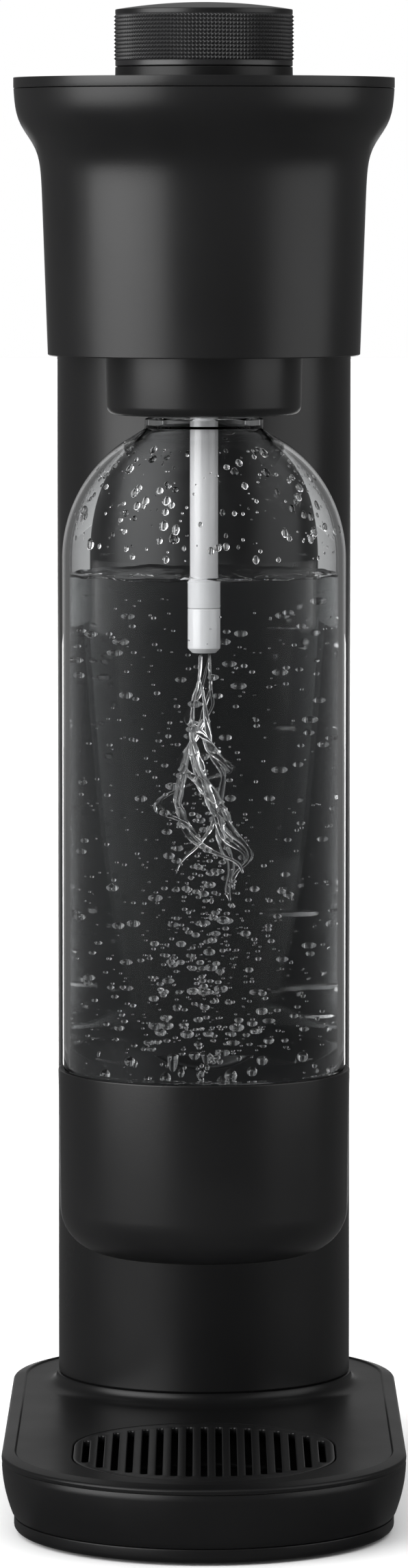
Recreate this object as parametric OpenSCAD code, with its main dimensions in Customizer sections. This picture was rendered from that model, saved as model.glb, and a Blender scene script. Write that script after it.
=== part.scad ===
// Hand-operated soda carbonator: base, round column, oval head, hanging bottle.
// Origin: middle of the footprint on the resting plane. Front is -Y, up is +Z.
// The bottle and the button share the axis at y = -end_y, the column and the gas cylinder that at column_y.

/* [Body] */
// Distance of each of the base's end arcs' centres from the middle of the object
end_y = 64.25; // [63:0.25:66]
// Distance of the column's axis behind the middle of the object
column_y = 52.75; // [52:0.25:55]
// Radius of the base at its widest
base_r = 57.4; // [57:0.1:59]
// Height of the deck's flat top
deck_z = 22.5; // [22:0.1:23]
// Radius of the round column
column_r = 43.5; // [43:0.1:44]
// Height of the head's underside
head_z = 332.5; // [330:0.5:334]
// Radius of the head's tapered cup at its underside
cup_r = 43.7; // [43.6:0.1:44]
// Radius of the head's flared top and of the top plate
head_r = 53.2; // [52:0.1:54]
// Height of the top plate's upper face
top_z = 409.7; // [409:0.1:411]
// Thickness of the moulded shells
wall = 2.5; // [2:0.1:2.6]

/* [Button] */
// Radius of the knurled grip
grip_r = 25.1; // [24.5:0.1:25.4]
// Height of the grip, without its domed cap
grip_h = 14.6; // [12:0.2:15]
/* [Bottle] */
// Radius of the clear bottle
bottle_r = 39.8; // [39:0.1:40]
// Height of the bottle's underside above the resting plane
bottle_z = 80.2; // [79:0.1:82]
// Height of the centre of the shoulder's sphere
shoulder_z = 275.6; // [274:0.1:277]
// Wall of the bottle
bottle_wall = 2; // [1.6:0.1:2.4]

/* [Drip grille] */
// Radius of the grille's round ends
grille_r = 37; // [36:0.1:37.5]
// Number of slots
slots = 17; // [11:2:17]
// Distance from slot to slot
slot_pitch = 4.19; // [4:0.01:4.2]

/* [Gas cylinder] */
// Radius of the gas cylinder
tank_r = 30; // [29:0.5:30]

/* [Hidden] */
$fn = 96;
gap = 0.15;               // shadow gap between fixed shells
plinth_r = 53.9;
plinth_bottom = 0.8;
plinth_top = 4.7;
split_z = 20.5;           // seam between base body and deck
belly = 0.0134;           // inward curve of the base body, per mm
collar_h = 3.7;           // rise of the collar at the column's foot
collar_w = 5.5;           // spread of its concave fillet
column_foot = deck_z + collar_h + gap;
column_in = column_r - wall;
flare_z = 393.6;          // middle of the flare
flare_len = 5.4;
head_top = top_z - 3.05;  // upper edge of the head's walls
frame_z = 378;            // underside of the plate inside the head
frame_t = 3;
lever_z = 388;            // underside of the lever
lever_t = 5;
pivot_y = column_y + 26;
pin_r = 2;
valve_bore = 1.55;
grille_straight = 16.7;   // straight length between the grille's round ends
tray_top = deck_z - 2.1;
neck_r = 16.6;
neck_top = 331;
skirt_bottom = 315.9;
tube_r = 3.95;
hose_r = 3;
hose_high = 371;
hose_low = 345;
foot_x = 38;
foot_y = 80;
screw_x = 47;
post_x = 20;
posts_y = [-35.75, 2.25];
grip_z = top_z + 3.1;     // underside of the grip
cap_z = grip_z + grip_h;  // underside of the domed cap

function arc(cx, cy, r, a0, a1, n = 8) =
    [for (i = [0 : n]) let (a = a0 + (a1 - a0) * i / n) [cx + r * cos(a), cy + r * sin(a)]];
function reversed(list) = [for (i = [len(list) - 1 : -1 : 0]) list[i]];
function tanh(x) = (exp(2 * x) - 1) / (exp(2 * x) + 1);

// Radius of the base body at height z
function base_side(z) = base_r - 0.1 - belly * pow(split_z - z, 2);
// Radius of the head at height z: a slow taper with the flare added
function head_side(z) =
    cup_r + (z - head_z) * 0.035 + (head_r - cup_r - 2.6) / 2 * (1 + tanh((z - flare_z) / flare_len));

// Heights at which the head's profile is drawn
head_levels = concat([head_z, 360, 378], [for (i = [0 : 10]) 383 + i * (head_top - 383) / 10]);

// A flat stadium: two round ends of radius r, centred at -e and +e along Y
module stadium(r, e) {
    translate([0, -e]) circle(r);
    translate([0, e]) circle(r);
    translate([-r, -e]) square([2 * r, 2 * e]);
}

// A slab with a stadium outline, from z0 to z1
module slab(r, e, z0, z1) {
    translate([0, 0, z0]) linear_extrude(z1 - z0) stadium(r, e);
}

// A profile of [radius, height] points run along the stadium whose ends are at y0 and y1
module rim_sweep(points, y0, y1) {
    translate([0, y0, 0]) rotate([0, 0, 180]) rotate_extrude(angle = 180) polygon(points);
    translate([0, y1, 0]) rotate_extrude(angle = 180) polygon(points);
    side_walls(points, y0, y1);
}

// The straight sides of such a sweep
module side_walls(points, y0, y1) {
    translate([0, y1, 0]) rotate([90, 0, 0]) linear_extrude(y1 - y0) {
        polygon(points);
        mirror([1, 0]) polygon(points);
    }
}

// A round bar, tube or ring on the axis at y
module ring(y, r, z0, z1, hole = 0) {
    translate([0, y, z0]) difference() {
        cylinder(r = r, h = z1 - z0);
        if (hole > 0) translate([0, 0, -1]) cylinder(r = hole, h = z1 - z0 + 2);
    }
}

// A coil spring of round wire, standing on z = 0
module coil(r, wire, height, turns) {
    steps = turns * 16;
    sides = 8;
    points = [for (i = [0 : steps], j = [0 : sides - 1])
        let (a = 360 * i / 16, b = 360 * j / sides, q = r + wire * cos(b))
        [q * cos(a), q * sin(a), wire + (height - 2 * wire) * i / steps + wire * sin(b)]];
    tube = [for (i = [0 : steps - 1], j = [0 : sides - 1])
        [i * sides + j, (i + 1) * sides + j, (i + 1) * sides + (j + 1) % sides, i * sides + (j + 1) % sides]];
    start = [[for (j = [0 : sides - 1]) j]];
    end = [[for (j = [sides - 1 : -1 : 0]) steps * sides + j]];
    polyhedron(points, concat(tube, start, end));
}

// A pan-head screw pointing up from z = 0, its head below
module screw_up(length) {
    cylinder(r = 1.5, h = length);
    translate([0, 0, -2]) difference() {
        cylinder(r = 2.8, h = 2.01);
        translate([0, 0, -1]) cylinder(r = 1.2, h = 2, $fn = 6);
    }
}

module rubber_feet() {
    color([0.06, 0.06, 0.06])
    for (x = [-foot_x, foot_x], y = [-foot_y, foot_y]) {
        translate([x, y, 0]) cylinder(r1 = 5.4, r2 = 6, h = 0.6);
        translate([x, y, 0.6]) cylinder(r = 6, h = 1.4);
    }
}

module base_plate() {
    edge = 1.6;
    profile = concat([[0, plinth_bottom]],
        arc(plinth_r - edge, plinth_bottom + edge, edge, -90, 0, 4),
        [[plinth_r, plinth_top], [0, plinth_top]]);
    color([0.09, 0.09, 0.09])
    difference() {
        rim_sweep(profile, -end_y, end_y);
        for (x = [-foot_x, foot_x], y = [-foot_y, foot_y])
            translate([x, y, 0]) cylinder(r = 6.05, h = 2.05);
        at_base_screws() {
            translate([0, 0, -1]) cylinder(r = 1.7, h = 8);
            cylinder(r = 3.2, h = 3.2);
        }
    }
}

module at_base_screws() {
    for (x = [-screw_x, screw_x], y = [-end_y, 0, end_y]) translate([x, y, 0]) children();
}

module base_screws() {
    color([0.6, 0.6, 0.62])
    at_base_screws() translate([0, 0, 3.15]) screw_up(12);
}

module base_body() {
    levels = [for (i = [0 : 8]) plinth_top + 0.2 + i * (split_z - gap - plinth_top - 0.2) / 8];
    outside = [for (z = levels) [base_side(z), z]];
    inside = [for (z = reversed(levels)) [base_side(z) - wall, z]];
    color([0.09, 0.09, 0.09]) rim_sweep(concat(outside, inside), -end_y, end_y);
}

// Six threaded posts between the base plate and the deck
module base_posts() {
    foot = plinth_top + 0.05;
    color([0.55, 0.56, 0.58])
    at_base_screws() difference() {
        translate([0, 0, foot]) cylinder(r = 3.9, h = deck_z - wall - 0.05 - foot);
        translate([0, 0, 4]) cylinder(r = 1.55, h = 12);
    }
}

module base_deck() {
    lip = 53.7;
    edge = [[base_r - 2.6, split_z], [base_r - 0.1, split_z], [base_r, split_z + 1],
        [base_r - 0.4, split_z + 1.6], [lip, deck_z + 0.5], [lip - 0.4, deck_z], [lip - 3, deck_z],
        [lip - 3, deck_z - wall]];
    fillet = [for (t = [0 : 15 : 90])
        [column_r + 0.4 + collar_w * (1 - cos(t)), deck_z + collar_h * (1 - sin(t))]];
    collar = concat([[column_in, deck_z - wall], [column_in, deck_z + collar_h]], fillet,
        [[column_r + 0.4 + collar_w, deck_z - wall]]);
    color([0.1, 0.1, 0.1])
    difference() {
        union() {
            rim_sweep(edge, -end_y, end_y);
            slab(lip - 2.5, end_y, deck_z - wall, deck_z);
            translate([0, column_y, 0]) rotate_extrude() polygon(collar);
        }
        grille_slab(grille_r + 0.35, 8, deck_z + 1);
        ring(column_y, column_in, 0, 40);
    }
}

// The grille's outline as a slab about the bottle's axis
module grille_slab(r, z0, z1) {
    translate([0, -end_y, 0]) slab(r, grille_straight / 2, z0, z1);
}

// Cup under the deck that the drip tray stands in
module drip_well() {
    color([0.09, 0.09, 0.09])
    difference() {
        grille_slab(grille_r + 0.35 + 1.6, 6.6, deck_z - wall - 0.05);
        grille_slab(grille_r + 0.35, 8, deck_z);
    }
}

module drip_tray() {
    color([0.08, 0.08, 0.08])
    difference() {
        grille_slab(grille_r, 8.3, tray_top);
        grille_slab(grille_r - 1.6, 9.9, tray_top + 1);
    }
}

module drip_grille() {
    slot_w = 1.9;
    color([0.1, 0.1, 0.1])
    difference() {
        grille_slab(grille_r, tray_top + 0.1, deck_z);
        for (i = [-(slots - 1) / 2 : (slots - 1) / 2])
            let (x = i * slot_pitch, half = grille_straight / 2 + 30.8 * sqrt(1 - pow(x / 35, 2)))
            translate([x, -end_y, 0]) slab(slot_w / 2, half - slot_w / 2, tray_top - 1, deck_z + 1);
    }
}

// Half of a round shell about the column's axis: front is [-1], rear is [1]
module half_round(points, side) {
    translate([0, column_y, 0]) rotate([0, 0, side > 0 ? 0 : 180])
        rotate_extrude(angle = 180) polygon(points);
}

module column_front() {
    shell = [[column_in, column_foot], [column_r - 0.3, column_foot], [column_r, column_foot + 0.4],
        [column_r, head_z - gap], [column_in, head_z - gap]];
    tongue = [[column_in - 2.4, 12], [column_in - 0.1, 12], [column_in - 0.1, column_foot],
        [column_in + 0.2, column_foot], [column_in, column_foot + 6], [column_in - 2.4, column_foot + 3]];
    color([0.09, 0.09, 0.09]) {
        half_round(shell, -1);
        half_round(tongue, -1);
    }
}

module rear_cover() {
    outside = concat([[column_r - 0.3, column_foot], [column_r, column_foot + 0.4], [column_r, head_z]],
        [for (z = head_levels) [head_side(z), min(z, head_top - gap)]]);
    inside = concat([for (z = reversed(head_levels)) [head_side(z) - wall, min(z + 1, head_top - gap)]],
        [[column_in, head_z], [column_in, column_foot]]);
    color([0.09, 0.09, 0.09]) {
        translate([0, 0.2, 0]) half_round(concat(outside, inside), 1);
        for (x = [-39.3, 39.3], z = [70, 290])
            translate([x - 1, column_y - 6, z]) cube([2, 9, 14]);
    }
}

module spine() {
    half_w = 12;
    color([0.55, 0.56, 0.58])
    difference() {
        union() {
            translate([-half_w, column_y - 36, plinth_top]) cube([2 * half_w, 4, frame_z - plinth_top]);
            translate([-half_w, column_y - 46, plinth_top]) cube([2 * half_w, 12, 3]);
            for (x = [-half_w, half_w - 2]) translate([x, column_y - 38, 34]) cube([2, 3, 280]);
        }
        translate([-6, column_y - 50, frame_z - 14]) cube([12, 20, 20]);
    }
}

module cylinder_seat() {
    color([0.15, 0.15, 0.15])
    difference() {
        ring(column_y, tank_r + 1.8, plinth_top, 16);
        ring(column_y, tank_r + 0.4, 11.9, 17);
        ring(column_y, tank_r - 8, 0, 17);
    }
}

module co2_cylinder() {
    outside = concat([[8, 12.2]], arc(tank_r - 8, 20.2, 8, -90, 0, 6),
        arc(tank_r - 19, 298, 19, 0, 75, 8), [[14, 322], [13, 324], [13, 334], [6, 334]]);
    inside = concat([[6, 320]], reversed(arc(tank_r - 19, 298, 16, 0, 75, 8)),
        reversed(arc(tank_r - 8, 20.2, 5, -90, 0, 6)), [[8, 15.2]]);
    color([0.7, 0.71, 0.73])
    translate([0, column_y, 0]) {
        rotate_extrude() polygon(concat(outside, inside));
        translate([0, 0, 12.2]) cylinder(r = 8, h = 3);
    }
}

module cylinder_valve() {
    color([0.78, 0.62, 0.3])
    difference() {
        union() {
            ring(column_y, 5.9, 322, 335);
            ring(column_y, 12.5, 334.1, 343);
            ring(column_y, 10.2, 343, 362);
        }
        ring(column_y, 2.4, 357, 363);
    }
}

module cylinder_gasket() {
    color([0.08, 0.08, 0.08]) ring(column_y, 9.6, 362.3, 363.9, 3);
}

module valve_body() {
    color([0.78, 0.62, 0.3])
    difference() {
        union() {
            ring(column_y, 14, 350, 384);
            ring(column_y, 18, frame_z - 3.5, frame_z - 0.1);
            translate([0, column_y - 12, hose_high]) rotate([90, 0, 0]) cylinder(r = 4, h = 6);
            translate([0, column_y - 12, hose_high]) rotate([90, 0, 0]) cylinder(r = 1.8, h = 14);
        }
        ring(column_y, 10.5, 349, 364);
        ring(column_y, valve_bore, 360, 390);
    }
}

module valve_pin() {
    color([0.8, 0.8, 0.82]) {
        ring(column_y, 1.5, 361.2, 386);
        ring(column_y, 3.5, 385.4, lever_z - 0.7);
        translate([0, column_y, lever_z - 0.7]) cylinder(r1 = 3.5, r2 = 1.5, h = 0.6);
    }
}

module head_frame() {
    color([0.5, 0.51, 0.53])
    difference() {
        union() {
            translate([-24, -end_y - 12, frame_z]) cube([48, end_y + column_y + 40, frame_t]);
            ring(-end_y, 24, frame_z, frame_z + frame_t);
        }
        ring(column_y, 14.2, frame_z - 1, frame_z + 9);
        at_posts() translate([0, 0, frame_z - 1]) cylinder(r = 1.7, h = 6);
    }
}

module at_posts() {
    for (x = [-post_x, post_x], y = posts_y) translate([x, y, 0]) children();
}

module frame_screws() {
    color([0.6, 0.6, 0.62])
    at_posts() translate([0, 0, frame_z + frame_t + 0.02]) mirror([0, 0, 1]) screw_up(14);
}

module lever() {
    color([0.5, 0.51, 0.53])
    difference() {
        union() {
            translate([-6, -end_y, lever_z]) cube([12, pivot_y + end_y, lever_t]);
            ring(-end_y, 9, lever_z, lever_z + lever_t);
            translate([-6, pivot_y, lever_z + lever_t / 2]) rotate([0, 90, 0]) cylinder(r = 4.5, h = 12);
        }
        translate([-7, pivot_y, lever_z + lever_t / 2]) rotate([0, 90, 0]) cylinder(r = pin_r + 0.06, h = 14);
    }
}

module lever_bracket() {
    color([0.5, 0.51, 0.53])
    for (x = [-10, 7]) difference() {
        union() {
            translate([x, pivot_y - 5, frame_z + frame_t]) cube([3, 10, 9.5]);
            translate([x, pivot_y, lever_z + lever_t / 2]) rotate([0, 90, 0]) cylinder(r = 5, h = 3);
        }
        translate([x - 1, pivot_y, lever_z + lever_t / 2])
            rotate([0, 90, 0]) cylinder(r = pin_r + 0.02, h = 5);
    }
}

module lever_pin() {
    color([0.8, 0.8, 0.82])
    translate([-11, pivot_y, lever_z + lever_t / 2]) rotate([0, 90, 0]) cylinder(r = pin_r, h = 22);
}

module button_cap() {
    crown = 3.2;
    band = 1.3;
    dome = concat([[0, cap_z + crown]],
        [for (i = [1 : 6]) let (r = i * (grip_r - 0.5) / 6)
            [r, cap_z + crown - (crown - band) * pow(i / 6, 2)]],
        [[grip_r - 0.3, cap_z + band - 0.2], [grip_r - 0.3, cap_z], [20, cap_z], [20, cap_z - 8],
         [18, cap_z - 8], [18, cap_z - 0.5], [7, cap_z - 0.5], [7, cap_z - 8], [5.05, cap_z - 8],
         [5.05, cap_z], [0, cap_z]]);
    color([0.1, 0.1, 0.1]) translate([0, -end_y, 0]) rotate_extrude() polygon(dome);
}

module button_grip() {
    color([0.1, 0.1, 0.1]) {
        ring(-end_y, grip_r, grip_z, cap_z - 0.05, 20.1);
        ring(-end_y, 21, grip_z, grip_z + 2, 12);
    }
}

module button_skirt() {
    color([0.1, 0.1, 0.1]) {
        ring(-end_y, 24.9, 400, grip_z - 0.15, 22.4);
        ring(-end_y, 23, grip_z - 2.6, grip_z - 0.15, 12);
    }
}

module button_stem() {
    tip = 5;
    color([0.8, 0.8, 0.82])
    translate([0, -end_y, 0]) rotate_extrude()
        polygon(concat([[0, lever_z + lever_t + 0.15]],
            arc(0, lever_z + lever_t + 0.15 + tip, tip, -80, 0, 6),
            [[5, cap_z - 0.1], [0, cap_z - 0.1]]));
}

module button_guide() {
    color([0.13, 0.13, 0.13])
    difference() {
        union() {
            ring(-end_y, 20, 398, 401.5);
            for (x = [-19, 15]) translate([x, -end_y - 6, frame_z + frame_t]) cube([4, 12, 18]);
        }
        ring(-end_y, 5.06, 390, 410);
    }
}

module button_spring() {
    color([0.7, 0.7, 0.72])
    translate([0, -end_y, 401.6]) coil(8.6, 0.7, cap_z - 0.7 - 401.6, 6);
}

module head_shell() {
    outside = [for (z = head_levels) [head_side(z), min(z, head_top)]];
    inside = [for (z = reversed(head_levels)) [head_side(z) - wall, min(z + 1, head_top)]];
    walls = concat(outside, inside);
    color([0.09, 0.09, 0.09])
    difference() {
        union() {
            translate([0, -end_y, 0]) rotate([0, 0, 180]) rotate_extrude(angle = 180) polygon(walls);
            side_walls(walls, -end_y, column_y);
            head_floor();
            at_posts() translate([0, 0, head_z + 1]) cylinder(r = 4.5, h = frame_z - head_z - 1);
        }
        ring(-end_y, 27.75, head_z - 1, head_z + 5);
        ring(column_y, column_in, head_z - 1, head_z + 5);
        at_posts() translate([0, 0, frame_z - 14]) cylinder(r = 1.55, h = 20);
    }
}

// Floor of the head, up to the rear cover's edge
module head_floor() {
    translate([0, 0, head_z]) linear_extrude(wall) {
        translate([0, -end_y]) circle(cup_r - 0.2);
        translate([-cup_r + 0.2, -end_y]) square([2 * cup_r - 0.4, end_y + column_y]);
    }
}

module head_plate() {
    rib = head_r - wall - 1.2;
    color([0.09, 0.09, 0.09])
    difference() {
        union() {
            head_slab(head_r, head_top + 0.15, top_z);
            difference() {
                head_slab(rib, head_top - 3, head_top + 0.2);
                head_slab(rib - 2, head_top - 4, head_top + 0.15);
            }
        }
        ring(-end_y, grip_r + 0.6, head_top - 5, top_z + 1);
    }
}

// A slab whose round ends are on the bottle's and the column's axes
module head_slab(r, z0, z1) {
    translate([0, (column_y - end_y) / 2, 0]) slab(r, (column_y + end_y) / 2, z0, z1);
}

module nozzle_skirt() {
    outside = concat(arc(27.2 - 3, skirt_bottom + 3, 3, -90, 0, 5),
        [[27.6, head_z + wall], [30, head_z + wall], [30, head_z + wall + 2],
         [24.8, head_z + wall + 2], [24.8, skirt_bottom + 1], [24, skirt_bottom]]);
    color([0.09, 0.09, 0.09]) translate([0, -end_y, 0]) rotate_extrude() polygon(outside);
}

module bottle_socket() {
    color([0.13, 0.13, 0.13])
    difference() {
        union() {
            ring(-end_y, 24.6, skirt_bottom + 2, 344);
            ring(-end_y, 30, head_z + wall + 2.1, head_z + wall + 5);
        }
        ring(-end_y, 17.1, skirt_bottom, 334.3);
        ring(-end_y, 20, 334.2, 351);
    }
}

module bottle_seal() {
    color([0.2, 0.2, 0.2]) ring(-end_y, 17, neck_top + 0.3, 334.1, 12.6);
}

module tube_holder() {
    color([0.16, 0.16, 0.16])
    difference() {
        union() {
            ring(-end_y, 19.9, 334.3, 342);
            ring(-end_y, 14, 342, 356);
            translate([0, -end_y + 12, hose_low + 6]) rotate([-90, 0, 0]) cylinder(r = 4, h = 12);
            translate([0, -end_y + 12, hose_low + 6]) rotate([-90, 0, 0]) cylinder(r = 1.8, h = 24);
        }
        ring(-end_y, tube_r + 0.03, 330, 348);
        translate([12, -end_y, hose_low + 6]) rotate([0, 90, 0]) cylinder(r = 3.05, h = 10);
    }
}

module relief_valve() {
    color([0.78, 0.62, 0.3])
    translate([12.1, -end_y, hose_low + 6]) rotate([0, 90, 0]) {
        cylinder(r = 3, h = 4);
        translate([0, 0, 3]) cylinder(r = 5, h = 12, $fn = 6);
        translate([0, 0, 15]) cylinder(r = 3.4, h = 4);
    }
}

module gas_hose() {
    high_y = column_y - 19;
    low = hose_low + 6;
    bend_y = column_y - 54.5;
    drop = hose_high - low;
    color([0.85, 0.85, 0.83]) {
        hose_straight([0, high_y, hose_high], [90, 0, 0], high_y - bend_y);
        translate([0, bend_y, hose_high - drop / 2]) hose_quarter(drop / 2, 0);
        translate([0, bend_y - drop, low + drop / 2]) hose_quarter(drop / 2, 180);
        hose_straight([0, bend_y - drop, low], [90, 0, 0], bend_y - drop + end_y - 25);
    }
}

module hose_straight(start, turn, length) {
    translate(start) rotate(turn) difference() {
        cylinder(r = hose_r, h = length);
        translate([0, 0, -1]) cylinder(r = 1.9, h = length + 2);
    }
}

// A quarter bend in the YZ plane about the origin
module hose_quarter(r, turn) {
    rotate([turn, 0, 0]) rotate([0, 90, 0]) rotate([0, 0, 180])
        rotate_extrude(angle = 90) translate([r, 0]) difference() {
            circle(hose_r);
            circle(1.9);
        }
}

module carbonation_tube() {
    color([0.9, 0.9, 0.9]) ring(-end_y, tube_r, 262, 347, 1.6);
}

// Jet that closes the tube's lower end, with a spigot up its bore
module nozzle_tip() {
    spigot = 1.58;
    color([0.88, 0.88, 0.88])
    translate([0, -end_y, 0]) rotate_extrude() polygon([[0.5, 249.5], [tube_r - 1.1, 249.5],
        [tube_r, 250.8], [tube_r, 261.95], [spigot, 261.95], [spigot, 268],
        [0.8, 268], [0.8, 255], [0.5, 254]]);
}

module bottle_body() {
    low = bottle_z + 3;
    in_r = bottle_r - bottle_wall;
    cone = 59;    // angle round the shoulder's sphere where the neck's cone begins
    outside = concat([[0, low]], arc(bottle_r - 13.5, low + 13, 13, -90, 0, 6),
        [[bottle_r - 0.5, 132.2], [bottle_r, 133]],
        arc(0, shoulder_z, bottle_r, 0, cone, 10),
        [[neck_r, 312.1], [neck_r, 314.9], [15.4, 315.2], [15.4, 318]],
        neck_thread(318), neck_thread(323), [[15.4, 329], [15.4, neck_top - 0.4], [15, neck_top]]);
    inside = concat([[13.4, neck_top], [13.4, 312.6]],
        reversed(arc(0, shoulder_z, in_r, 0, cone, 10)),
        reversed(arc(bottle_r - 13.5, low + 13, 13 - bottle_wall, -90, 0, 6)), [[0, low + bottle_wall]]);
    color([0.8, 0.85, 0.88, 0.35])
    translate([0, -end_y, 0]) rotate_extrude() polygon(concat(outside, inside));
}

// One ridge of the neck's thread, drawn as a plain ring
function neck_thread(z) = [[15.4, z], [16.6, z + 0.9], [16.6, z + 1.7], [15.4, z + 2.6]];

module bottle_base_cup() {
    low_r = 40.4;
    rim_r = 41.15;
    fillet = 13;
    top = 132;
    outside = concat([[0, bottle_z]], arc(low_r - fillet, bottle_z + fillet, fillet, -90, 0, 8),
        [[rim_r, top - 0.3], [rim_r - 0.3, top]]);
    inside = concat([[bottle_r - 0.4, top], [bottle_r - 0.4, bottle_z + 15.8]],
        reversed(arc(bottle_r - 13.4, bottle_z + 15.9, 13, -90, 0, 6)), [[0, bottle_z + 2.9]]);
    color([0.07, 0.07, 0.07])
    translate([0, -end_y, 0]) rotate_extrude() polygon(concat(outside, inside));
}

rubber_feet();
base_plate();
base_screws();
base_posts();
base_body();
base_deck();
drip_well();
drip_tray();
drip_grille();
column_front();
rear_cover();
spine();
cylinder_seat();
co2_cylinder();
cylinder_valve();
cylinder_gasket();
valve_body();
valve_pin();
head_frame();
frame_screws();
lever();
lever_bracket();
lever_pin();
button_cap();
button_grip();
button_skirt();
button_stem();
button_guide();
button_spring();
head_shell();
head_plate();
nozzle_skirt();
bottle_socket();
bottle_seal();
tube_holder();
relief_valve();
gas_hose();
carbonation_tube();
nozzle_tip();
bottle_body();
bottle_base_cup();
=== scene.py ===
"""Looks of the soda carbonator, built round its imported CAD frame. Lengths are in metres."""
import math
import random

import bmesh
import bpy
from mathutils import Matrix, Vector, noise


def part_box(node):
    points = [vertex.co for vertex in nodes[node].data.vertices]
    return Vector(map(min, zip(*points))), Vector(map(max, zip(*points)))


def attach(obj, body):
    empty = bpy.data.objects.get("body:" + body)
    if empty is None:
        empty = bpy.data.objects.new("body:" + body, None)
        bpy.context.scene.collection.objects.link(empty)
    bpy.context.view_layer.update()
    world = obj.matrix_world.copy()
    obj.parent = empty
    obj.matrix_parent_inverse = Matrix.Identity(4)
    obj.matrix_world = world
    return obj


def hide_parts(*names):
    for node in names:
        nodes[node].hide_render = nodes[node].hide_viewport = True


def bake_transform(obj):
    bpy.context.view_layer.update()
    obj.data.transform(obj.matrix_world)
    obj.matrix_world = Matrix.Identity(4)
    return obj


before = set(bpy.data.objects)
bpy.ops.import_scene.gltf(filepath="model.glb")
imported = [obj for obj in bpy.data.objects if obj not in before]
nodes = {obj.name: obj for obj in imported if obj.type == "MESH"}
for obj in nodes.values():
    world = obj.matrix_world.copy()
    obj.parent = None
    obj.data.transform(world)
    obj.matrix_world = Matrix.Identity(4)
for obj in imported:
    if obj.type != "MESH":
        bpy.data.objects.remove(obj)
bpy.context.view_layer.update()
MM = 0.001


# ---------------------------------------------------------------- sizes taken from the frame
def low(node):
    """Lowest corner of a node's box."""
    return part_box(node)[0]


def high(node):
    """Highest corner of a node's box."""
    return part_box(node)[1]


BASE_R = high("base_deck").x
END_Y = high("base_deck").y - BASE_R
DECK_Z = high("drip_grille").z
PLINTH_R = high("base_plate").x
PLINTH_LOW = low("base_plate").z
PLINTH_TOP = high("base_plate").z
BODY_LOW = low("base_body").z
BODY_TOP = high("base_body").z
SPLIT_Z = BODY_TOP + 0.15 * MM
COLUMN_R = high("column_front").x
COLUMN_Y = low("column_front").y + COLUMN_R
COLUMN_FOOT = PLINTH_TOP + 21.65 * MM
COLLAR_TOP = COLUMN_FOOT - 0.15 * MM
HEAD_R = high("head_plate").x
HEAD_LOW = low("head_shell").z
HEAD_TOP = high("head_shell").z
TOP_Z = high("head_plate").z
GRIP_R = high("button_grip").x
GRIP_LOW = low("button_grip").z
GRIP_TOP = high("button_grip").z
SKIRT_R = high("button_skirt").x
SKIRT_TOP = high("button_skirt").z
CROWN_Z = high("button_cap").z
BOTTLE_R = high("bottle_body").x
BOTTLE_LOW = low("bottle_body").z
NECK_TOP = high("bottle_body").z
CUP_R = high("bottle_base_cup").x
CUP_LOW = low("bottle_base_cup").z
CUP_TOP = high("bottle_base_cup").z
TUBE_R = high("carbonation_tube").x
TIP_R = high("nozzle_tip").x
TIP_LOW = low("nozzle_tip").z
TIP_TOP = high("nozzle_tip").z
GRILLE_R = high("drip_grille").x
GRILLE_STRAIGHT = high("drip_grille").y + END_Y - GRILLE_R

# Sizes that no box in the frame gives.
WALL = 2.5 * MM
BOTTLE_WALL = 2 * MM
SHOULDER_Z = 275.6 * MM  # centre of the bottle's round shoulder
WATER_Z = 271 * MM       # level of the water
HEAD_CUP_R = 43.7 * MM   # radius of the head at its lower edge
GRILLE_GAP = 0.35 * MM   # play between the grille and its opening
BAND_BACK = 0.36 * MM    # how far the button's plain bands stand back from the tips of the knurl


# ---------------------------------------------------------------- mesh building
def arc(cx, cy, r, start, end, steps):
    """Points on an arc, angles in degrees."""
    angles = [math.radians(start + (end - start) * i / steps) for i in range(steps + 1)]
    return [(cx + r * math.cos(a), cy + r * math.sin(a)) for a in angles]


def rounded(corners, steps=5):
    """A closed outline whose corners (x, y, radius) are rounded off."""
    points = []
    count = len(corners)
    for i, corner in enumerate(corners):
        x, y = corner[:2]
        r = corner[2] if len(corner) > 2 else 0
        if r <= 0:
            points.append((x, y))
            continue
        here = Vector((x, y))
        before = (Vector(corners[i - 1][:2]) - here).normalized()
        after = (Vector(corners[(i + 1) % count][:2]) - here).normalized()
        half = before.angle(after) / 2
        reach = r / math.tan(half)
        centre = here + (before + after).normalized() * (r / math.sin(half))
        start = here + before * reach - centre
        end = here + after * reach - centre
        turn = math.atan2(start.x * end.y - start.y * end.x, start.dot(end))
        for k in range(steps + 1):
            a = turn * k / steps
            points.append((centre.x + start.x * math.cos(a) - start.y * math.sin(a),
                           centre.y + start.x * math.sin(a) + start.y * math.cos(a)))
    return points


def circle_path(y, steps=160, start=0, end=360):
    """Stations (centre x, centre y, outward x, outward y) round a circle."""
    angles = [math.radians(start + (end - start) * i / steps) for i in range(steps + 1)]
    if end - start == 360:
        angles.pop()
    return [(0, y, math.cos(a), math.sin(a)) for a in angles]


def stadium_path(front, rear, steps, rows=10):
    """Stations round a stadium whose end arcs are centred at y = front and y = rear."""
    path = circle_path(rear, steps, 0, 180)
    path += [(0, rear + (front - rear) * i / rows, -1, 0) for i in range(1, rows)]
    path += circle_path(front, steps, 180, 360)
    path += [(0, front + (rear - front) * i / rows, 1, 0) for i in range(1, rows)]
    return path


def skin(bm, rows):
    """Faces between neighbouring rows of vertices, each row a closed loop."""
    for here, there in zip(rows, rows[1:]):
        for i in range(len(here)):
            n = (i + 1) % len(here)
            bm.faces.new((here[i], here[n], there[n], there[i]))


def strand(bm, rows):
    """A closed strand through rows of vertices, each row a loop round its middle."""
    for here, there in zip(rows, rows[1:]):
        for i in range(len(here)):
            n = (i + 1) % len(here)
            bm.faces.new((here[i], there[i], there[n], here[n]))
    bm.faces.new(rows[0])
    bm.faces.new(list(reversed(rows[-1])))


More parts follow.
